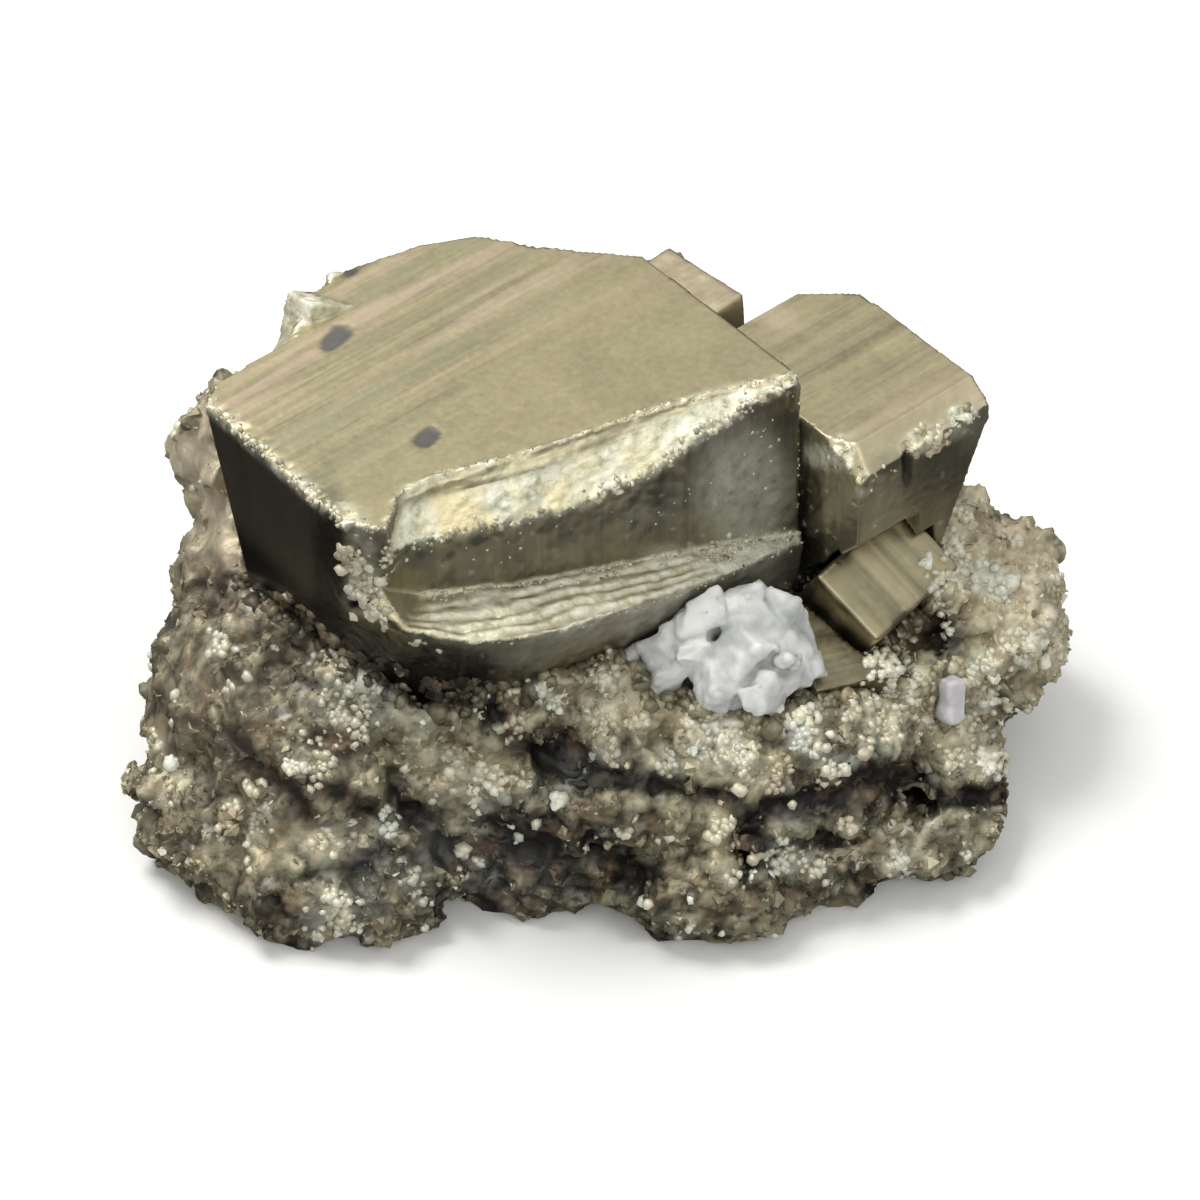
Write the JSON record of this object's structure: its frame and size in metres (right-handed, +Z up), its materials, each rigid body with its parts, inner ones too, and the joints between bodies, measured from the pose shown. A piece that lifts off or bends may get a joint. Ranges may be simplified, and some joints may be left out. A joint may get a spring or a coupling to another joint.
{
  "type": "pyrite specimen",
  "caption": "Free-standing natural pyrite specimen: striated metallic crystals with flat faces on a rough granular matrix, with a patch of white mineral grains.",
  "frame": {"origin": "centre of the specimen's bounding box in X and Y, on the flat face that it rests on", "axes": "+Z up, +X to the right as seen from the front, +Y to the back"},
  "size_m": [0.0644, 0.0394, 0.0343],
  "materials": {
    "granular_pyrite": "rough, granular and partly tarnished, with bright metallic grains",
    "striated_pyrite": "pale brassy metallic lustre with fine parallel striations",
    "white_grains": "white, sugary and slightly translucent"
  },
  "bodies": {
    "root": {"matrix": "granular_pyrite", "large_crystal": "striated_pyrite", "right_crystal": "striated_pyrite", "small_crystal": "striated_pyrite", "low_crystal": "striated_pyrite", "white_cluster": "white_grains", "white_chip": "white_grains"}
  },
  "joints": []
}
